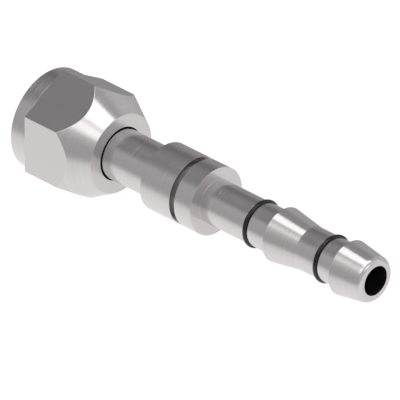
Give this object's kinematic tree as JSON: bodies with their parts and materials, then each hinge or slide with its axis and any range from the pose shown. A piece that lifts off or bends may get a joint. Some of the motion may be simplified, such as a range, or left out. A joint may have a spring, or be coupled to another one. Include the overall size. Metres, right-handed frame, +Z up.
{
  "type": "refrigerant hose fitting",
  "caption": "Straight turned hose fitting: a captive hexagon swivel nut on a nipple with a clip-grooved collar, O-rings and barbs for the hose.",
  "frame": {"origin": "on the fitting's axis, where the thread of the swivel nut begins", "axes": "+X along the fitting from the port to the hose end, +Z up, square to the flat of the nut that faces down"},
  "size_m": [0.0798, 0.022, 0.019],
  "materials": {
    "nipple_steel": "smooth turned, bright plated",
    "nut_steel": "smooth machined, bright plated",
    "seal_rubber": "smooth moulded, slightly glossy"
  },
  "bodies": {
    "nipple_body": {"nipple": "nipple_steel", "inner_o_ring": "seal_rubber", "outer_o_ring": "seal_rubber"},
    "nut_body": {"swivel_nut": "nut_steel"}
  },
  "joints": [
    {"name": "nut_swivel", "type": "hinge", "parent": "nipple_body", "child": "nut_body", "pos_m": [0.005, 0, 0], "axis": [1, 0, 0], "continuous": true}
  ]
}
